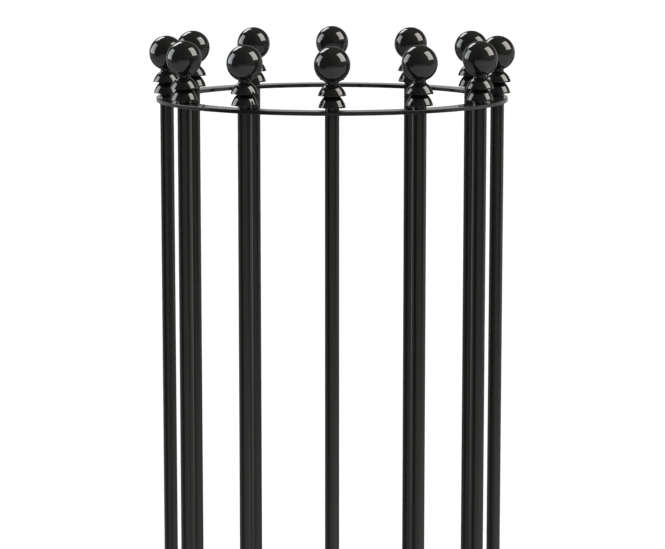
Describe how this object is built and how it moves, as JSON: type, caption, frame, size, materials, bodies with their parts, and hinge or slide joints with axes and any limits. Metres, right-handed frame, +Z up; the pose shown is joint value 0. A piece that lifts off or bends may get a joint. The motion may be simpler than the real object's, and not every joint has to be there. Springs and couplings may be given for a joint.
{
  "type": "umbrella stand",
  "caption": "Tall round umbrella stand: a cage of slim black rods with ball finials, a flat top ring, a heavy base plate and a lift-out drip tray.",
  "frame": {"origin": "on the floor, under the middle of the stand, in the plane of the feet's undersides", "axes": "+Z up along the stand's axis, -Y towards the front, where rod_01 stands"},
  "size_m": [0.22, 0.22, 0.7012],
  "materials": {
    "frame_enamel": "gloss black stove enamel on round bar and flat plate",
    "finial_lacquer": "high-gloss black lacquer over turned metal, mirror-like reflections",
    "tray_enamel": "satin black enamel on spun sheet",
    "plated_steel": "bright zinc-plated steel",
    "foot_rubber": "matt black moulded rubber"
  },
  "bodies": {
    "stand": {"base_plate": "frame_enamel", "top_ring": "frame_enamel", "rod_01": "frame_enamel", "rod_02": "frame_enamel", "rod_03": "frame_enamel", "rod_04": "frame_enamel", "rod_05": "frame_enamel", "rod_06": "frame_enamel", "rod_07": "frame_enamel", "rod_08": "frame_enamel", "rod_09": "frame_enamel", "rod_10": "frame_enamel", "rod_11": "frame_enamel", "rod_12": "frame_enamel", "finial_01": "finial_lacquer", "finial_02": "finial_lacquer", "finial_03": "finial_lacquer", "finial_04": "finial_lacquer", "finial_05": "finial_lacquer", "finial_06": "finial_lacquer", "finial_07": "finial_lacquer", "finial_08": "finial_lacquer", "finial_09": "finial_lacquer", "finial_10": "finial_lacquer", "finial_11": "finial_lacquer", "finial_12": "finial_lacquer", "finial_stud_01": "plated_steel", "finial_stud_02": "plated_steel", "finial_stud_03": "plated_steel", "finial_stud_04": "plated_steel", "finial_stud_05": "plated_steel", "finial_stud_06": "plated_steel", "finial_stud_07": "plated_steel", "finial_stud_08": "plated_steel", "finial_stud_09": "plated_steel", "finial_stud_10": "plated_steel", "finial_stud_11": "plated_steel", "finial_stud_12": "plated_steel", "rod_screw_01": "plated_steel", "rod_screw_02": "plated_steel", "rod_screw_03": "plated_steel", "rod_screw_04": "plated_steel", "rod_screw_05": "plated_steel", "rod_screw_06": "plated_steel", "rod_screw_07": "plated_steel", "rod_screw_08": "plated_steel", "rod_screw_09": "plated_steel", "rod_screw_10": "plated_steel", "rod_screw_11": "plated_steel", "rod_screw_12": "plated_steel", "foot_1": "foot_rubber", "foot_2": "foot_rubber", "foot_3": "foot_rubber", "foot_4": "foot_rubber"},
    "drip_tray": {"drip_tray": "tray_enamel"}
  },
  "joints": [
    {"name": "tray_lift", "type": "slide", "parent": "stand", "child": "drip_tray", "axis": [0, 0, 1], "range_m": [0, 0.73]}
  ]
}
